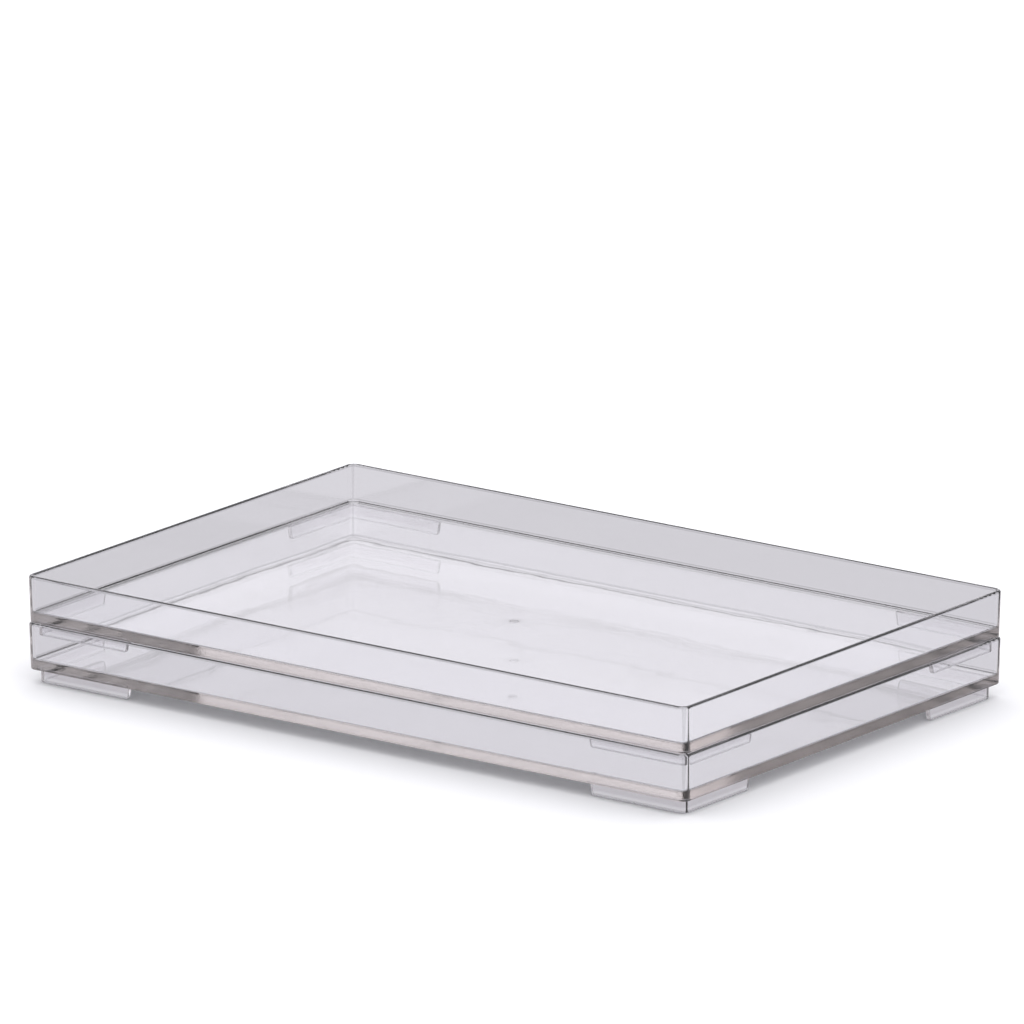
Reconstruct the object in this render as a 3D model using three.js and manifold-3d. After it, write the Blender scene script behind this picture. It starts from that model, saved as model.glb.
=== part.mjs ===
// A pair of clear, shallow letter trays that stack. Each tray is one moulded pan with a thick flat
// floor and four thin walls, standing on four L-shaped corner feet. The feet of the upper tray drop
// inside the rim of the lower one, so the stack can't slide apart and the upper tray lifts straight off.
//
// Millimetres. +X runs along the long side, +Y along the short side towards the back, +Z up.
// The origin is under the middle of the stack, on the plane that the lower feet stand on.

import * as THREE from 'three';
import { mergeVertices } from 'three/addons/utils/BufferGeometryUtils.js';
import Module from 'manifold-3d';

// Driving dimensions: the pan
const TRAY_LENGTH = 340; // over the rim, along X
const TRAY_WIDTH = 226; // over the rim, along Y
const PAN_HEIGHT = 20; // from the underside of the floor to the top of the rim
const FLOOR_THICKNESS = 4;
const RIM_THICKNESS = 2.2;
const DRAFT_ANGLE = 1.2; // degrees that each wall leans outwards
const CORNER_RADIUS = 4.5; // outside, at the upright corners
const GATE_DIAMETER = 4; // round dimple left by the moulding gate, under the middle of the floor
const GATE_DEPTH = 0.5;

// Driving dimensions: the feet
const FOOT_HEIGHT = 6;
const FOOT_INSET_X = 2.8; // from the underside's short edge to the outer face of the rib
const FOOT_INSET_Y = 4.2; // from the underside's long edge to the outer face of the rib
const FOOT_RIB = 2; // thickness of the rib
const FOOT_ARM_X = 48; // length of the arm along the long side
const FOOT_ARM_Y = 45; // length of the arm along the short side
const FOOT_END_TAPER = 1; // how much shorter an arm is at its bottom edge
const FOOT_END_RADIUS = 1; // lower corner of an arm's free end
const FOOT_CORNER_RADIUS = 2.5; // outside corner of the L
const FOOT_INNER_RADIUS = 0.5; // inside corner of the L

// Driving dimensions: the stack
const STACK_CLEARANCE = 0.3; // between the lower rim and the underside of the upper floor

const ARC_SEGMENTS = 8; // per quarter circle
const OVERCUT = 1; // how far a cutting solid runs past the face it cuts

const DRAFT_SLOPE = Math.tan(THREE.MathUtils.degToRad(DRAFT_ANGLE));
const BASE_LENGTH = TRAY_LENGTH - 2 * PAN_HEIGHT * DRAFT_SLOPE;
const BASE_WIDTH = TRAY_WIDTH - 2 * PAN_HEIGHT * DRAFT_SLOPE;
const STACK_PITCH = PAN_HEIGHT + STACK_CLEARANCE;

const wasm = await Module();
wasm.setup();

function toSolid(geometry) {
  geometry.deleteAttribute('normal');
  geometry.deleteAttribute('uv');
  const merged = mergeVertices(geometry);
  const vertProperties = new Float32Array(merged.attributes.position.array);
  const triVerts = new Uint32Array(merged.index.array);
  return new wasm.Manifold(new wasm.Mesh({ numProp: 3, vertProperties, triVerts }));
}

function toGeometry(solid) {
  const mesh = solid.getMesh();
  const geometry = new THREE.BufferGeometry();
  geometry.setAttribute('position', new THREE.BufferAttribute(mesh.vertProperties, 3));
  geometry.setIndex(new THREE.BufferAttribute(mesh.triVerts, 1));
  geometry.computeVertexNormals();
  return geometry;
}

function roundedRectangle(length, width, radius) {
  const x = length / 2 - radius;
  const y = width / 2 - radius;
  const shape = new THREE.Shape();
  shape.absarc(x, y, radius, 0, Math.PI / 2, false);
  shape.absarc(-x, y, radius, Math.PI / 2, Math.PI, false);
  shape.absarc(-x, -y, radius, Math.PI, 1.5 * Math.PI, false);
  shape.absarc(x, -y, radius, 1.5 * Math.PI, 2 * Math.PI, false);
  return shape;
}

function prism(shape, bottom, top) {
  const settings = { depth: top - bottom, bevelEnabled: false, curveSegments: ARC_SEGMENTS };
  return new THREE.ExtrudeGeometry(shape, settings).translate(0, 0, bottom);
}

// Moves every point below the rim inwards, so that upright sides lean outwards by the draft angle.
function withDraft(geometry) {
  const points = geometry.attributes.position;
  for (let i = 0; i < points.count; i += 1) {
    const shift = (PAN_HEIGHT - points.getZ(i)) * DRAFT_SLOPE;
    points.setX(i, points.getX(i) - Math.sign(points.getX(i)) * shift);
    points.setY(i, points.getY(i) - Math.sign(points.getY(i)) * shift);
  }
  return geometry;
}

// The pan, with the underside of its floor at z = 0.
function panSolid() {
  const outline = roundedRectangle(TRAY_LENGTH, TRAY_WIDTH, CORNER_RADIUS);
  const mouth = roundedRectangle(
    TRAY_LENGTH - 2 * RIM_THICKNESS,
    TRAY_WIDTH - 2 * RIM_THICKNESS,
    CORNER_RADIUS - RIM_THICKNESS,
  );
  const block = toSolid(withDraft(prism(outline, 0, PAN_HEIGHT)));
  const inside = toSolid(withDraft(prism(mouth, FLOOR_THICKNESS, PAN_HEIGHT + OVERCUT)));
  return block.subtract(inside).subtract(gateDimple());
}

// A shallow ball-shaped dimple: the ball's radius follows from the dimple's diameter and depth.
function gateDimple() {
  const half = GATE_DIAMETER / 2;
  const radius = (half * half + GATE_DEPTH * GATE_DEPTH) / (2 * GATE_DEPTH);
  const ball = new THREE.SphereGeometry(radius, 3 * ARC_SEGMENTS, 2 * ARC_SEGMENTS);
  return toSolid(ball.translate(0, 0, GATE_DEPTH - radius));
}

// Side view of one arm of a foot, from past the corner (u = 0) to its free end, which tapers
// towards the bottom edge and has a round lower corner.
function armSideView(length) {
  const foot = length - FOOT_END_TAPER;
  const riseAcross = (FOOT_END_TAPER * FOOT_END_RADIUS) / FOOT_HEIGHT;
  const shape = new THREE.Shape();
  shape.moveTo(-OVERCUT, -OVERCUT);
  shape.lineTo(foot - FOOT_END_RADIUS, -OVERCUT);
  shape.lineTo(foot - FOOT_END_RADIUS, 0);
  shape.quadraticCurveTo(foot, 0, foot + riseAcross, FOOT_END_RADIUS);
  shape.lineTo(length, FOOT_HEIGHT);
  shape.lineTo(length, FOOT_HEIGHT + OVERCUT);
  shape.lineTo(-OVERCUT, FOOT_HEIGHT + OVERCUT);
  return shape;
}

// An arm's side view given thickness: it starts at corner, runs along the unit vector run, and
// reaches from just outside the rib's outer face to just inside its inner face.
function armBlock(corner, run, length, inwards) {
  const up = new THREE.Vector3(0, 0, 1);
  const across = new THREE.Vector3().crossVectors(run, up);
  const thickness = FOOT_RIB + 2 * OVERCUT;
  const start = corner.clone().addScaledVector(inwards, -OVERCUT);
  if (across.dot(inwards) < 0) start.addScaledVector(inwards, thickness);
  const placed = new THREE.Matrix4().makeBasis(run, up, across).setPosition(start);
  return toSolid(prism(armSideView(length), 0, thickness).applyMatrix4(placed));
}

// One L-shaped foot, standing on z = 0, at the corner of the signs sideX and sideY. It is the
// stretch near that corner of a low rib that follows the outline of the underside.
function footSolid(sideX, sideY) {
  const length = BASE_LENGTH - 2 * FOOT_INSET_X;
  const width = BASE_WIDTH - 2 * FOOT_INSET_Y;
  const outer = roundedRectangle(length, width, FOOT_CORNER_RADIUS);
  const inner = roundedRectangle(length - 2 * FOOT_RIB, width - 2 * FOOT_RIB, FOOT_INNER_RADIUS);
  const rib = toSolid(prism(outer, 0, FOOT_HEIGHT))
    .subtract(toSolid(prism(inner, -OVERCUT, FOOT_HEIGHT + OVERCUT)));
  const corner = new THREE.Vector3((sideX * length) / 2, (sideY * width) / 2, 0);
  const inX = new THREE.Vector3(-sideX, 0, 0);
  const inY = new THREE.Vector3(0, -sideY, 0);
  const arms = armBlock(corner, inX, FOOT_ARM_X, inY).add(armBlock(corner, inY, FOOT_ARM_Y, inX));
  return rib.intersect(arms);
}

function clearPlastic(colour) {
  return new THREE.MeshStandardMaterial({
    color: colour,
    roughness: 0.06,
    metalness: 0,
    transparent: true,
    opacity: 0.4,
  });
}

const FEET = {
  front_left: [-1, -1],
  front_right: [1, -1],
  back_left: [-1, 1],
  back_right: [1, 1],
};

// One whole tray, standing on z = 0, with its nodes named after level.
function tray(level, colour) {
  const group = new THREE.Group();
  const pan = new THREE.Mesh(toGeometry(panSolid()), clearPlastic(colour));
  pan.name = `${level}_tray_pan`;
  pan.position.z = FOOT_HEIGHT;
  group.add(pan);
  for (const [place, [sideX, sideY]] of Object.entries(FEET)) {
    const foot = new THREE.Mesh(toGeometry(footSolid(sideX, sideY)), clearPlastic(colour));
    foot.name = `${level}_foot_${place}`;
    group.add(foot);
  }
  return group;
}

const stack = new THREE.Group();
stack.add(tray('lower', 0xe2e3ec));
const upper = tray('upper', 0xe6e7ef);
upper.position.z = STACK_PITCH;
stack.add(upper);

export default stack;
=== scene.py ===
"""Two clear, stackable letter trays: the looks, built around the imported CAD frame.

Each CAD pan and foot is replaced by a finer piece of the same size, with round edges that bend light
as moulded plastic does. Metres, +Z up; every place comes from the frame.
"""

import math

import bmesh
import bpy
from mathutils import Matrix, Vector


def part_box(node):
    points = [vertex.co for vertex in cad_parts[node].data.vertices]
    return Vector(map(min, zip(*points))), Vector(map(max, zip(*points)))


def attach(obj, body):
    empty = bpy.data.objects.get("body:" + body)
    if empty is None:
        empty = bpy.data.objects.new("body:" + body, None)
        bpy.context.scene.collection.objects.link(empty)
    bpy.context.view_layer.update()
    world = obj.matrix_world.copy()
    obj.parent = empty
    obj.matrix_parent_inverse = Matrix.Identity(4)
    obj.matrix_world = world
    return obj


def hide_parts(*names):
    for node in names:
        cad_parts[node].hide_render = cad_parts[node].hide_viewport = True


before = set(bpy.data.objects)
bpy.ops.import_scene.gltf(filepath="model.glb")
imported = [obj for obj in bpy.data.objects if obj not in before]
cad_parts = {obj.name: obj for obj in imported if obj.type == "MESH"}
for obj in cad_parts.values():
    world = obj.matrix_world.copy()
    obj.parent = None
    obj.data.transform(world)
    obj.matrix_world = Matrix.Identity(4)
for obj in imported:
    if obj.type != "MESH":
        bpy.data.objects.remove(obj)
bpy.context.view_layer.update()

MM = 0.001

# ---------------------------------------------------------------- camera
CAMERA_AZIMUTH = math.radians(36.59)
CAMERA_ELEVATION = math.radians(15.23)
CAMERA_DISTANCE = 7.473
CAMERA_LENS = 632.6  # mm
SENSOR_WIDTH = 36  # mm
AIM_HEIGHT = 0.0765  # half way up the space that the two trays take when they are apart
AIM_LEFT = 0.0009


def add_camera():
    level = math.cos(CAMERA_ELEVATION)
    back = Vector(
        (
            math.sin(CAMERA_AZIMUTH) * level,
            -math.cos(CAMERA_AZIMUTH) * level,
            math.sin(CAMERA_ELEVATION),
        )
    )
    left = Vector((-math.cos(CAMERA_AZIMUTH), -math.sin(CAMERA_AZIMUTH), 0))
    data = bpy.data.cameras.new("photo_camera")
    data.sensor_width = SENSOR_WIDTH
    data.lens = CAMERA_LENS
    data.clip_end = 100
    data.dof.use_dof = False
    camera = bpy.data.objects.new("photo_camera", data)
    camera.location = Vector((0, 0, AIM_HEIGHT)) + left * AIM_LEFT + back * CAMERA_DISTANCE
    camera.rotation_mode = "QUATERNION"
    camera.rotation_quaternion = (-back).to_track_quat("-Z", "Y")
    bpy.context.scene.collection.objects.link(camera)
    bpy.context.scene.camera = camera


# ---------------------------------------------------------------- small node helpers
def new_tree(owner):
    owner.use_nodes = True
    tree = owner.node_tree
    tree.nodes.clear()
    return tree


def add_node(tree, kind, **settings):
    """A node of this kind. Settings that name a socket set its value, and others set properties."""
    node = tree.nodes.new(kind)
    for name, value in settings.items():
        socket = node.inputs.get(name.replace("_", " "))
        if socket is not None:
            socket.default_value = value
        else:
            setattr(node, name, value)
    return node


def feed(tree, value, socket):
    """Link a node's output to this socket, or set the socket to a plain value."""
    if isinstance(value, bpy.types.NodeSocket):
        tree.links.new(value, socket)
    else:
        socket.default_value = value


def add_maths(tree, operation, *values):
    """A Math node's result. Each value is a number or an output."""
    node = add_node(tree, "ShaderNodeMath", operation=operation)
    for value, socket in zip(values, node.inputs):
        feed(tree, value, socket)
    return node.outputs[0]


def add_fade(tree, value, start, end, left=0):
    """1 where value is under start, falling smoothly to what is left at end."""
    node = add_node(
        tree,
        "ShaderNodeMapRange",
        interpolation_type="SMOOTHSTEP",
        From_Min=start,
        From_Max=end,
        To_Min=1,
        To_Max=left,
    )
    tree.links.new(value, node.inputs["Value"])
    return node.outputs["Result"]


# A Mix node has sockets for numbers, vectors and colours, and these are the ones for colours.
MIX_A, MIX_B, MIX_RESULT = 6, 7, 2


def add_tint(tree, share, under, over):
    """The colour under, turning into the colour over as share goes from 0 to 1."""
    node = add_node(tree, "ShaderNodeMix", data_type="RGBA")
    tree.links.new(share, node.inputs["Factor"])
    feed(tree, under, node.inputs[MIX_A])
    feed(tree, over, node.inputs[MIX_B])
    return node.outputs[MIX_RESULT]


def add_noise(tree, place, scale, detail, roughness=0.5):
    node = add_node(tree, "ShaderNodeTexNoise", Scale=scale, Detail=detail, Roughness=roughness)
    tree.links.new(place, node.inputs["Vector"])
    return node.outputs["Fac"]


def add_split(tree, vector):
    """A vector's X, Y and Z."""
    node = add_node(tree, "ShaderNodeSeparateXYZ")
    tree.links.new(vector, node.inputs[0])
    return node.outputs


def add_along(tree, vector, direction):
    """How far a vector reaches along a direction of length 1."""
    node = add_node(tree, "ShaderNodeVectorMath", operation="DOT_PRODUCT")
    tree.links.new(vector, node.inputs[0])
    node.inputs[1].default_value = direction
    return node.outputs["Value"]


# ---------------------------------------------------------------- sizes of the pan and the feet
SLOPE = math.tan(math.radians(1.2))
RIM_THICKNESS = 2.2 * MM
FLOOR_THICKNESS = 4 * MM
CORNER_RADIUS = 4.5 * MM
RIM_EDGE = 1.09 * MM
BASE_EDGE = 0.5 * MM
FLOOR_FILLET = 1.0 * MM
GATE_RADIUS = 2 * MM
GATE_DEPTH = 0.5 * MM
GATE_EDGE = 0.4 * MM
GATE_SHOULDER = 0.7  # share of the gate's depth that its sloping edge takes

FOOT_RIB = 2 * MM
FOOT_TAPER = 1 * MM
FOOT_END_RADIUS = 1 * MM
FOOT_END_TURN = 80  # degrees that the round end turns through, up to the sloping end face
FOOT_CORNER = 2 * MM  # radius of the bend in the middle of the rib
FOOT_EDGE = 0.4 * MM
FOOT_ROOT = 0.15 * MM  # how far a foot runs up into the pan, so that no two faces coincide

SUPPORT = 0.3 * MM  # from a round edge to the next ring of points on the flat beside it
TIP = 0.02 * MM  # the same, at the top of a foot's free end
MERGE_DISTANCE = 1e-4 * MM
ARC_STEPS = 6
FOOT_EDGE_STEPS = 3
CORNER_STEPS = 16
PAN_SHARP_ANGLE = 35  # degrees
FOOT_SHARP_ANGLE = 50

# ---------------------------------------------------------------- clear plastic
PLASTIC_IOR = 1.59
PLASTIC_TINT = (0.985, 0.985, 0.995, 1)
LINE_PAINTED_SHADE = (0.60, 0.60, 0.61, 1)  # painted shade along the edges round the floor's outer edge, and along a foot's lower edge
# Painted shade round the rim.
RIM_PAINTED_SHADE = (0.66, 0.66, 0.67, 1)
# Painted shade up the walls' upright corners.
UPRIGHT_PAINTED_SHADE = (0.74, 0.74, 0.75, 1)
# Painted shade on the feet, for the shaded table seen through them.
FOOT_PAINTED_SHADE = (0.83, 0.815, 0.835, 1)
ABSORPTION_COLOUR = (0.60, 0.375, 0.24, 1)
ABSORPTION_DENSITY = 1.2  # per metre
EDGE_ROUGHNESS = 0.13
GATE_ROUGHNESS = 0.60

# Relief: scales are per metre, and heights are metres.
RIPPLE_SCALE = 60
RIPPLE_HEIGHT = 2e-5
WARP_SCALE = 18
WARP_HEIGHT = 2.5e-4
GRAIN_SCALE = 1100
GRAIN_HEIGHT = 4e-5
FLOW_SPOKES = 11.0
FLOW_DRIFT = 12.0
FLOW_SCALE = 1.6
FLOW_REACH = 0.055  # from the gate to where the flow lines have faded
FLOW_HEIGHT = 1.2e-5
STREAK_SCALE = (90, 90, 900)
STREAK_HEIGHT = 1e-5

# Where the detail and the painted shade lie on a pan
EDGE_BAND = 1.2 * MM  # how far in from the rim's outline the detail of the outer edge reaches
FLOOR_TOP_FADE = 0.3 * MM
GATE_SKIN = (0.6 * MM, 0.8 * MM)  # height where the gate's torn skin starts to fade, and ends
BOTTOM_LINE = 0.9 * MM  # height of the painted shade line along the floor's lower edge
JUNCTION_HEIGHT = 4.3 * MM  # of the painted shade line where the floor's outer edge meets the wall
JUNCTION_LINE = 0.4 * MM  # half its height
LINE_FADE = 0.15 * MM
RIM_LINE = (0.9 * MM, 1.2 * MM)  # depth where the rim's painted shade line starts to fade, and ends
UPRIGHT_LINE = (1.9 * MM, 2.2 * MM)  # inset from both sides where an upright corner's painted shade line fades, and ends

# Where the detail and the painted shade lie on a foot, as shares of its height
# The first pair is where the painted shade line along the foot's lower edge fades.
FOOT_LINE = (0.08, 0.14)
FOOT_CLEAR_STRIP = (0.28, 0.40)
FOOT_SHADE_LEAST = 0.3
FOOT_SHADE_STREAKS = 1.2


def add_pan_grain(tree, place, edge, height):
    """Adds the fine grain of the floor's outer edge to the height."""
    grain = add_noise(tree, place.outputs["Object"], GRAIN_SCALE, 2)
    grain_height = add_maths(tree, "MULTIPLY", grain, GRAIN_HEIGHT)
    return add_maths(tree, "MULTIPLY_ADD", grain_height, edge, height)


def add_flow_lines(tree, x, y, from_gate, height):
    """Adds the lines that run outwards from the gate to the height."""
    turn = add_maths(tree, "MULTIPLY", add_maths(tree, "ARCTAN2", y, x), FLOW_SPOKES)
    around = add_node(tree, "ShaderNodeCombineXYZ")
    tree.links.new(add_maths(tree, "SINE", turn), around.inputs["X"])
    tree.links.new(add_maths(tree, "COSINE", turn), around.inputs["Y"])
    tree.links.new(add_maths(tree, "MULTIPLY", from_gate, FLOW_DRIFT), around.inputs["Z"])
    flow = add_noise(tree, around.outputs["Vector"], FLOW_SCALE, 2)
    flow_height = add_maths(tree, "MULTIPLY", flow, FLOW_HEIGHT)
    near_gate = add_fade(tree, from_gate, GATE_RADIUS, FLOW_REACH)
    return add_maths(tree, "MULTIPLY_ADD", flow_height, near_gate, height)


def add_pan_painted_shade(tree, over_base, outer_face, upright, pan_height):
    """Plain plastic, with painted shade in darker lines along the two edges of the floor's outer edge, up
    the walls' corners and round the rim."""
    from_junction = add_maths(tree, "SUBTRACT", over_base, JUNCTION_HEIGHT)
    from_junction = add_maths(tree, "ABSOLUTE", from_junction)
    # Painted shade: darker lines along the floor's lower edge and where its outer edge meets the wall.
    lines = add_maths(
        tree,
        "MAXIMUM",
        add_fade(tree, over_base, BOTTOM_LINE - LINE_FADE, BOTTOM_LINE + LINE_FADE),
        add_fade(tree, from_junction, JUNCTION_LINE - LINE_FADE, JUNCTION_LINE + LINE_FADE),
    )
    lines = add_maths(tree, "MULTIPLY", lines, outer_face)
    # Painted shade round the rim.
    rim = add_fade(tree, add_maths(tree, "SUBTRACT", pan_height, over_base), *RIM_LINE)
    colour = add_tint(tree, lines, PLASTIC_TINT, LINE_PAINTED_SHADE)
    colour = add_tint(tree, upright, colour, UPRIGHT_PAINTED_SHADE)
    return add_tint(tree, rim, colour, RIM_PAINTED_SHADE)


def add_pan_detail(tree, place, size, height):
    """Colour with painted shade, roughness and height on a pan of this size, whose middle is at the
    origin.
    """
    x, y, _ = add_split(tree, place.outputs["Object"])
    share_z = add_split(tree, place.outputs["Generated"])["Z"]
    over_base = add_maths(tree, "MULTIPLY", share_z, size.z)
    past_x = add_maths(tree, "SUBTRACT", add_maths(tree, "ABSOLUTE", x), size.x / 2)
    past_y = add_maths(tree, "SUBTRACT", add_maths(tree, "ABSOLUTE", y), size.y / 2)
    inset = add_maths(tree, "MULTIPLY", add_maths(tree, "MAXIMUM", past_x, past_y), -1)
    outer_face = add_fade(tree, inset, EDGE_BAND, 1.5 * EDGE_BAND)
    floor_level = add_fade(
        tree, over_base, FLOOR_THICKNESS - FLOOR_TOP_FADE, FLOOR_THICKNESS + FLOOR_TOP_FADE
    )
    edge = add_maths(tree, "MULTIPLY", outer_face, floor_level)
    farther_inset = add_maths(tree, "MULTIPLY", add_maths(tree, "MINIMUM", past_x, past_y), -1)
    over_floor = add_maths(tree, "SUBTRACT", 1, floor_level)
    # Painted shade up the walls' upright corners, above the floor.
    upright = add_maths(tree, "MULTIPLY", add_fade(tree, farther_inset, *UPRIGHT_LINE), over_floor)

    squares = [add_maths(tree, "MULTIPLY", value, value) for value in (x, y)]
    from_gate = add_maths(tree, "SQRT", add_maths(tree, "ADD", *squares))
    gate = add_maths(
        tree,
        "MULTIPLY",
        add_fade(tree, from_gate, GATE_RADIUS, GATE_RADIUS + GATE_EDGE),
        add_fade(tree, over_base, *GATE_SKIN),
    )

    height = add_pan_grain(tree, place, edge, height)
    height = add_flow_lines(tree, x, y, from_gate, height)
    colour = add_pan_painted_shade(tree, over_base, outer_face, upright, size.z)
    roughness = add_maths(tree, "MULTIPLY", edge, EDGE_ROUGHNESS)
    roughness = add_maths(tree, "MULTIPLY_ADD", gate, GATE_ROUGHNESS, roughness)
    return colour, roughness, height


def add_foot_detail(tree, place, height):
    """Colour and height on a foot: painted shade in grey streaks over a clear strip, and a painted shade
    line along its lower edge.
    """
    share_z = add_split(tree, place.outputs["Generated"])["Z"]
    stretch = add_node(tree, "ShaderNodeMapping", Scale=STREAK_SCALE)
    tree.links.new(place.outputs["Object"], stretch.inputs["Vector"])
    streaks = add_noise(tree, stretch.outputs["Vector"], 1, 2)
    # Painted shade in grey streaks, above a clear strip near the bottom that is left unshaded.
    over_strip = add_maths(tree, "SUBTRACT", 1, add_fade(tree, share_z, *FOOT_CLEAR_STRIP))
    grey = add_maths(tree, "MULTIPLY_ADD", streaks, FOOT_SHADE_STREAKS, FOOT_SHADE_LEAST)
    grey = add_maths(tree, "MULTIPLY", over_strip, grey)
    colour = add_tint(tree, grey, PLASTIC_TINT, FOOT_PAINTED_SHADE)
    # Painted shade along the foot's lower edge.
    colour = add_tint(tree, add_fade(tree, share_z, *FOOT_LINE), colour, LINE_PAINTED_SHADE)
    return colour, add_maths(tree, "MULTIPLY_ADD", streaks, STREAK_HEIGHT, height)


def clear_plastic(name, pan_size=None):
    """Clear moulded plastic with slow waves in its surface, and the detail and painted shade of a pan or
    of a foot.
    """
    material = bpy.data.materials.new(name)
    tree = new_tree(material)
    link = tree.links.new
    shader = add_node(
        tree,
        "ShaderNodeBsdfPrincipled",
        Base_Color=PLASTIC_TINT,
        Roughness=0.0,
        IOR=PLASTIC_IOR,
        Transmission_Weight=1.0,
    )
    place = add_node(tree, "ShaderNodeTexCoord")
    ripple = add_noise(tree, place.outputs["Object"], RIPPLE_SCALE, 1, roughness=0.4)
    warp = add_noise(tree, place.outputs["Object"], WARP_SCALE, 0)
    height = add_maths(tree, "MULTIPLY", warp, WARP_HEIGHT)
    height = add_maths(tree, "MULTIPLY_ADD", ripple, RIPPLE_HEIGHT, height)
    if pan_size:
        colour, roughness, height = add_pan_detail(tree, place, pan_size, height)
        link(roughness, shader.inputs["Roughness"])
    else:
        colour, height = add_foot_detail(tree, place, height)
    link(colour, shader.inputs["Base Color"])
    bump = add_node(tree, "ShaderNodeBump", Strength=1.0, Distance=1.0)
    link(height, bump.inputs["Height"])
    link(bump.outputs["Normal"], shader.inputs["Normal"])
    volume = add_node(
        tree, "ShaderNodeVolumeAbsorption", Color=ABSORPTION_COLOUR, Density=ABSORPTION_DENSITY
    )
    output = add_node(tree, "ShaderNodeOutputMaterial")
    link(shader.outputs["BSDF"], output.inputs["Surface"])
    link(volume.outputs["Volume"], output.inputs["Volume"])
    return material


# ---------------------------------------------------------------- mesh helpers
def arc(centre, centre_z, radius, start, end, steps=ARC_STEPS):
    """Points (across, z) on an arc. An angle of 0 degrees points across, and 90 points up."""
    for step in range(steps + 1):
        angle = math.radians(start + (end - start) * step / steps)
        yield centre + radius * math.cos(angle), centre_z + radius * math.sin(angle)


def bridge(mesh, rings):
    for lower, upper in zip(rings, rings[1:]):
        for i in range(len(lower)):
            j = (i + 1) % len(lower)
            mesh.faces.new((lower[i], lower[j], upper[j], upper[i]))


def finish_mesh(mesh, name, material, sharp_angle):
    bmesh.ops.remove_doubles(mesh, verts=mesh.verts, dist=MERGE_DISTANCE)
    bmesh.ops.recalc_face_normals(mesh, faces=mesh.faces)
    for face in mesh.faces:
        face.smooth = True
    for edge in mesh.edges:
        edge.smooth = edge.calc_face_angle(0) < math.radians(sharp_angle)
    data = bpy.data.meshes.new(name)
    mesh.to_mesh(data)
    mesh.free()
    data.materials.append(material)
    piece = bpy.data.objects.new(name, data)
    bpy.context.scene.collection.objects.link(piece)
    normals = piece.modifiers.new("even_shading", "WEIGHTED_NORMAL")
    normals.keep_sharp = True
    normals.weight = 100
    return piece


# ---------------------------------------------------------------- pan
def pan_section(height):
    """The wall's section from the underside, out and up the wall, over the rim and down to the floor:
    (inset from the rim's outline, height over the underside, radius of the upright corner)."""
    base = height * SLOPE
    inside = RIM_THICKNESS + (height - FLOOR_THICKNESS) * SLOPE
    inner_radius = CORNER_RADIUS - RIM_THICKNESS
    fillet_inset, fillet_z = inside + FLOOR_FILLET, FLOOR_THICKNESS + FLOOR_FILLET
    rows = [(base + BASE_EDGE + SUPPORT, 0.0, CORNER_RADIUS - BASE_EDGE - SUPPORT)]
    for inset, z in arc(base + BASE_EDGE, BASE_EDGE, BASE_EDGE, 270, 180):
        rows.append((inset, z, CORNER_RADIUS - (inset - base)))
    for inset, z in arc(RIM_EDGE, height - RIM_EDGE, RIM_EDGE, 180, 90):
        rows.append((inset, z, CORNER_RADIUS - inset))
    for inset, z in arc(RIM_THICKNESS - RIM_EDGE, height - RIM_EDGE, RIM_EDGE, 90, 0):
        rows.append((inset, z, CORNER_RADIUS - inset))
    for inset, z in arc(fillet_inset, fillet_z, FLOOR_FILLET, 180, 270):
        rows.append((inset, z, inner_radius - (inset - inside)))
    rows.append((fillet_inset + SUPPORT, FLOOR_THICKNESS, inner_radius - FLOOR_FILLET - SUPPORT))
    return rows


def outline(half_x, half_y, radius):
    """Points round a rectangle with round corners, the same number for any size."""
    for quarter, (sign_x, sign_y) in enumerate(((1, 1), (-1, 1), (-1, -1), (1, -1))):
        for step in range(CORNER_STEPS + 1):
            angle = math.radians(90 * (quarter + step / CORNER_STEPS))
            yield (
                sign_x * (half_x - radius) + radius * math.cos(angle),
                sign_y * (half_y - radius) + radius * math.sin(angle),
            )


def add_ring(mesh, half_x, half_y, radius, z):
    return [mesh.verts.new((x, y, z)) for x, y in outline(half_x, half_y, radius)]


def build_pan(node, name, material):
    low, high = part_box(node)
    half_x, half_y = (high.x - low.x) / 2, (high.y - low.y) / 2
    mesh = bmesh.new()
    rings = [
        add_ring(mesh, half_x - inset, half_y - inset, radius, low.z + z)
        for inset, z, radius in pan_section(high.z - low.z)
    ]
    bridge(mesh, rings)
    mesh.faces.new(rings[-1])
    gate_section = (
        (GATE_RADIUS + GATE_EDGE, 0),
        (GATE_RADIUS, 0),
        (GATE_RADIUS - GATE_EDGE, GATE_DEPTH * GATE_SHOULDER),
        (GATE_RADIUS - 2 * GATE_EDGE, GATE_DEPTH),
    )
    gate = [add_ring(mesh, radius, radius, radius, low.z + z) for radius, z in gate_section]
    bridge(mesh, [rings[0], *gate])
    mesh.faces.new(gate[-1])
    piece = finish_mesh(mesh, name, material, PAN_SHARP_ANGLE)
    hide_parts(node)
    return piece


# ---------------------------------------------------------------- feet
def end_rows(height):
    """(distance from the free end, height of the underside) from the full section to the end."""
    rows = [(FOOT_TAPER + FOOT_END_RADIUS + SUPPORT, 0.0)]
    for step in range(ARC_STEPS + 1):
        angle = math.radians(FOOT_END_TURN) * step / ARC_STEPS
        from_end = FOOT_TAPER + FOOT_END_RADIUS * (1 - math.sin(angle))
        rows.append((from_end, FOOT_END_RADIUS * (1 - math.cos(angle))))
    rows.append((TIP, height - FOOT_EDGE - TIP))
    return rows


def foot_section(bottom, top):
    """Points (across, z) round the rib's section, with round lower edges."""
    centre, centre_z = FOOT_RIB / 2 - FOOT_EDGE, bottom + FOOT_EDGE
    yield -FOOT_RIB / 2, top
    yield from arc(-centre, centre_z, FOOT_EDGE, 180, 270, FOOT_EDGE_STEPS)
    yield from arc(centre, centre_z, FOOT_EDGE, 270, 360, FOOT_EDGE_STEPS)
    yield FOOT_RIB / 2, top


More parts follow.
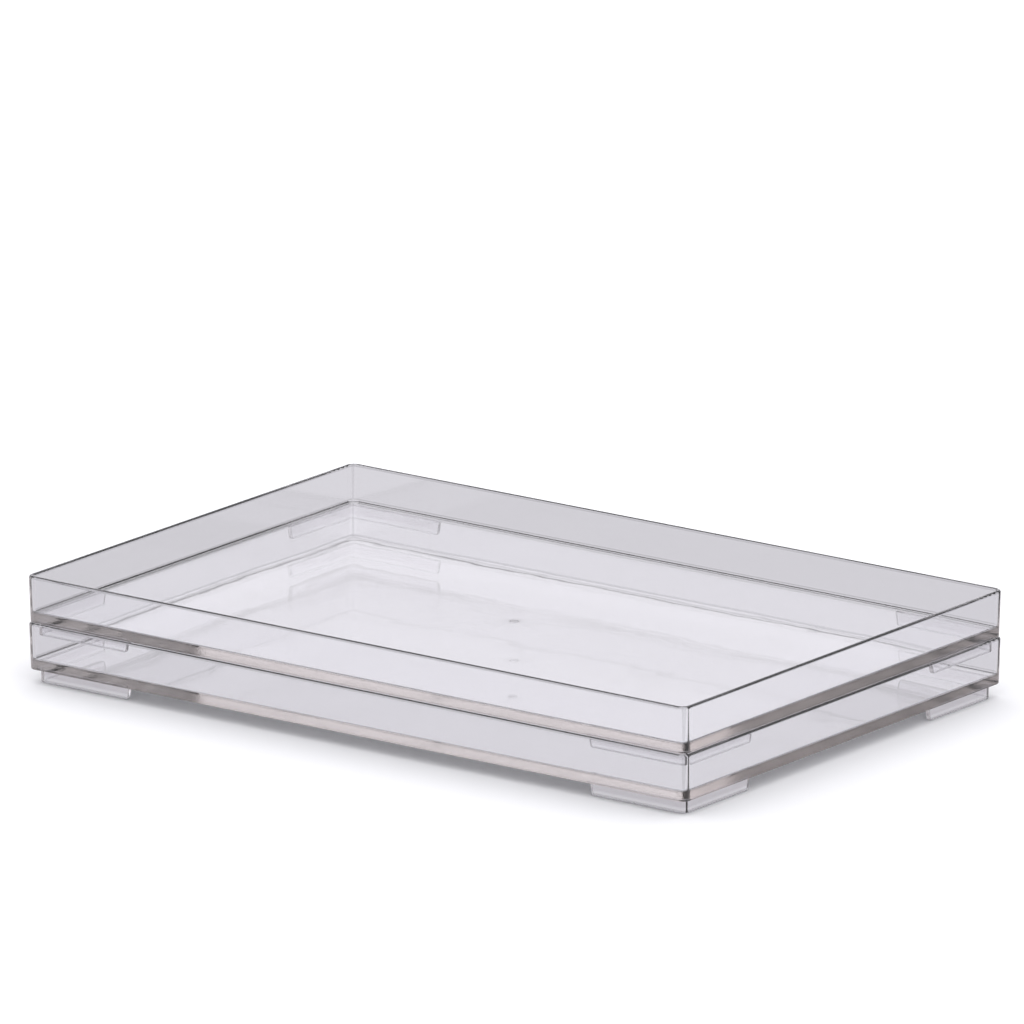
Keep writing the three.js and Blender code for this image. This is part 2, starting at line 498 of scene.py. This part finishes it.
def foot_stations(length_x, length_y, height):
    """(point on the middle of the rib, direction along it, height of its underside), in order from one
    free end, round the corner at (0, 0) and on to the other free end."""
    half = FOOT_RIB / 2
    for from_end, bottom in reversed(end_rows(height)):
        yield Vector((length_x - from_end, half)), Vector((-1, 0)), bottom
    centre = Vector((FOOT_CORNER + half, FOOT_CORNER + half))
    for step in range(ARC_STEPS + 1):
        angle = math.radians(270 - 90 * step / ARC_STEPS)
        out = Vector((math.cos(angle), math.sin(angle)))
        yield centre + out * FOOT_CORNER, Vector((out.y, -out.x)), 0.0
    for from_end, bottom in end_rows(height):
        yield Vector((half, length_y - from_end)), Vector((0, 1)), bottom


def build_foot(node, name, sign_x, sign_y, material):
    low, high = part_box(node)
    length_x, length_y, height = high - low
    corner = Vector((high.x if sign_x > 0 else low.x, high.y if sign_y > 0 else low.y))
    mesh = bmesh.new()
    rings = []
    for point, along, bottom in foot_stations(length_x, length_y, height):
        ring = []
        for across, z in foot_section(bottom, height + FOOT_ROOT):
            x, y = point.x + along.y * across, point.y - along.x * across
            ring.append(mesh.verts.new((corner.x - sign_x * x, corner.y - sign_y * y, low.z + z)))
        rings.append(ring)
    bridge(mesh, rings)
    mesh.faces.new(rings[0])
    mesh.faces.new(rings[-1])
    piece = finish_mesh(mesh, name, material, FOOT_SHARP_ANGLE)
    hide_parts(node)
    return piece


# ---------------------------------------------------------------- stage
DARK_AZIMUTH = math.radians(36.67)  # of the studio's two dim sides, from +Y towards +X and opposite
DARK_DIRECTION = (math.sin(DARK_AZIMUTH), math.cos(DARK_AZIMUTH), 0)
FLOOR_HALF = 30.0
FLOOR_DEPTH = 0.2 * MM  # below the feet
FLOOR_SEEN = (0.93, 0.93, 0.94, 1)
FLOOR_THROUGH = (0.10, 0.099, 0.1025, 1)
FLOOR_GLOW = (0.565, 0.553, 0.583, 1)
GLOW_FADE = (0.25, 0.60)  # metres from the middle towards a dim side where the painted glow fades into painted shade, and ends
GLOW_LEFT = 0.50  # share of the glow that's left there


def build_floor():
    """A pale floor that reads as white in front of the camera, and as a light grey table in what the
    plastic shows and mirrors of it, lit there by its own painted glow, which dims as painted shade towards
    the dim sides."""
    material = bpy.data.materials.new("pale_floor")
    tree = new_tree(material)
    link = tree.links.new
    place = add_node(tree, "ShaderNodeTexCoord")
    towards_side = add_along(tree, place.outputs["Object"], DARK_DIRECTION)
    from_middle = add_maths(tree, "ABSOLUTE", towards_side)
    seen = add_node(tree, "ShaderNodeBsdfDiffuse", Color=FLOOR_SEEN)
    through = add_node(tree, "ShaderNodeBsdfDiffuse", Color=FLOOR_THROUGH)
    glow = add_node(tree, "ShaderNodeEmission", Color=FLOOR_GLOW)
    table = add_node(tree, "ShaderNodeAddShader")
    path = add_node(tree, "ShaderNodeLightPath")
    mix = add_node(tree, "ShaderNodeMixShader")
    output = add_node(tree, "ShaderNodeOutputMaterial")
    # The glow is painted light, dimming as painted shade towards the dim sides.
    link(add_fade(tree, from_middle, *GLOW_FADE, left=GLOW_LEFT), glow.inputs["Strength"])
    link(through.outputs["BSDF"], table.inputs[0])
    link(glow.outputs["Emission"], table.inputs[1])
    link(path.outputs["Is Camera Ray"], mix.inputs["Fac"])
    link(table.outputs["Shader"], mix.inputs[1])
    link(seen.outputs["BSDF"], mix.inputs[2])
    link(mix.outputs["Shader"], output.inputs["Surface"])
    mesh = bmesh.new()
    corners = [(-1, -1), (1, -1), (1, 1), (-1, 1)]
    mesh.faces.new([mesh.verts.new((x * FLOOR_HALF, y * FLOOR_HALF, -FLOOR_DEPTH)) for x, y in corners])
    data = bpy.data.meshes.new("floor")
    mesh.to_mesh(data)
    mesh.free()
    data.materials.append(material)
    floor = bpy.data.objects.new("floor", data)
    bpy.context.scene.collection.objects.link(floor)


STUDIO_DARK = (0.10, 0.095, 0.095, 1)
STUDIO_BACKDROP = (0.98, 0.965, 1.018, 1)
STUDIO_TOP = (0.80, 0.80, 0.82, 1)  # in what the plastic shows and mirrors
TOP_ON_FLOOR = (1.55, 1.55, 1.58, 1)
STUDIO_SEEN = (0.95, 0.95, 0.96, 1)  # in front of the camera
DARK_SIDE = (0.75, 0.92)  # cosines of the angles from a dim side's middle where it starts, and is darkest
TOP_FADE = (0.35, 0.65)  # sines of the heights where the overhead light starts, and is full


def build_world():
    """A soft studio: a broad light overhead, a pale backdrop, and two dim sides."""
    world = bpy.data.worlds.new("studio")
    bpy.context.scene.world = world
    tree = new_tree(world)
    view = add_node(tree, "ShaderNodeTexCoord").outputs["Generated"]
    path = add_node(tree, "ShaderNodeLightPath").outputs
    towards_side = add_maths(tree, "ABSOLUTE", add_along(tree, view, DARK_DIRECTION))
    pale = add_fade(tree, towards_side, *DARK_SIDE)
    low_down = add_fade(tree, add_split(tree, view)["Z"], *TOP_FADE)
    sides = add_tint(tree, pale, STUDIO_DARK, STUDIO_BACKDROP)
    top = add_tint(tree, path["Is Diffuse Ray"], STUDIO_TOP, TOP_ON_FLOOR)
    light = add_tint(tree, low_down, top, sides)
    background = add_node(tree, "ShaderNodeBackground")
    output = add_node(tree, "ShaderNodeOutputWorld")
    tree.links.new(add_tint(tree, path["Is Camera Ray"], light, STUDIO_SEEN), background.inputs["Color"])
    tree.links.new(background.outputs["Background"], output.inputs["Surface"])


# Light crosses many faces in a stack of clear trays.
MOST_BOUNCES = 40
MOST_REFLECTIONS = 24


def set_up_light_paths():
    scene = bpy.context.scene
    scene.view_settings.view_transform = "Standard"
    scene.cycles.max_bounces = MOST_BOUNCES
    scene.cycles.transmission_bounces = MOST_BOUNCES
    scene.cycles.glossy_bounces = MOST_REFLECTIONS
    scene.cycles.sample_clamp_indirect = 0


# ---------------------------------------------------------------- the object
FEET = {"front_left": (-1, -1), "front_right": (1, -1), "back_left": (-1, 1), "back_right": (1, 1)}

add_camera()
set_up_light_paths()
build_floor()
build_world()
pan_low, pan_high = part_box("lower_tray_pan")
pan_plastic = clear_plastic("crystal_polystyrene_pan", pan_high - pan_low)
foot_plastic = clear_plastic("crystal_polystyrene_foot")
for level in ("lower", "upper"):
    pieces = [build_pan(f"{level}_tray_pan", f"{level}_moulded_pan", pan_plastic)]
    for place, signs in FEET.items():
        node, name = f"{level}_foot_{place}", f"{level}_rib_foot_{place}"
        pieces.append(build_foot(node, name, *signs, foot_plastic))
    for piece in pieces:
        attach(piece, f"{level}_tray")
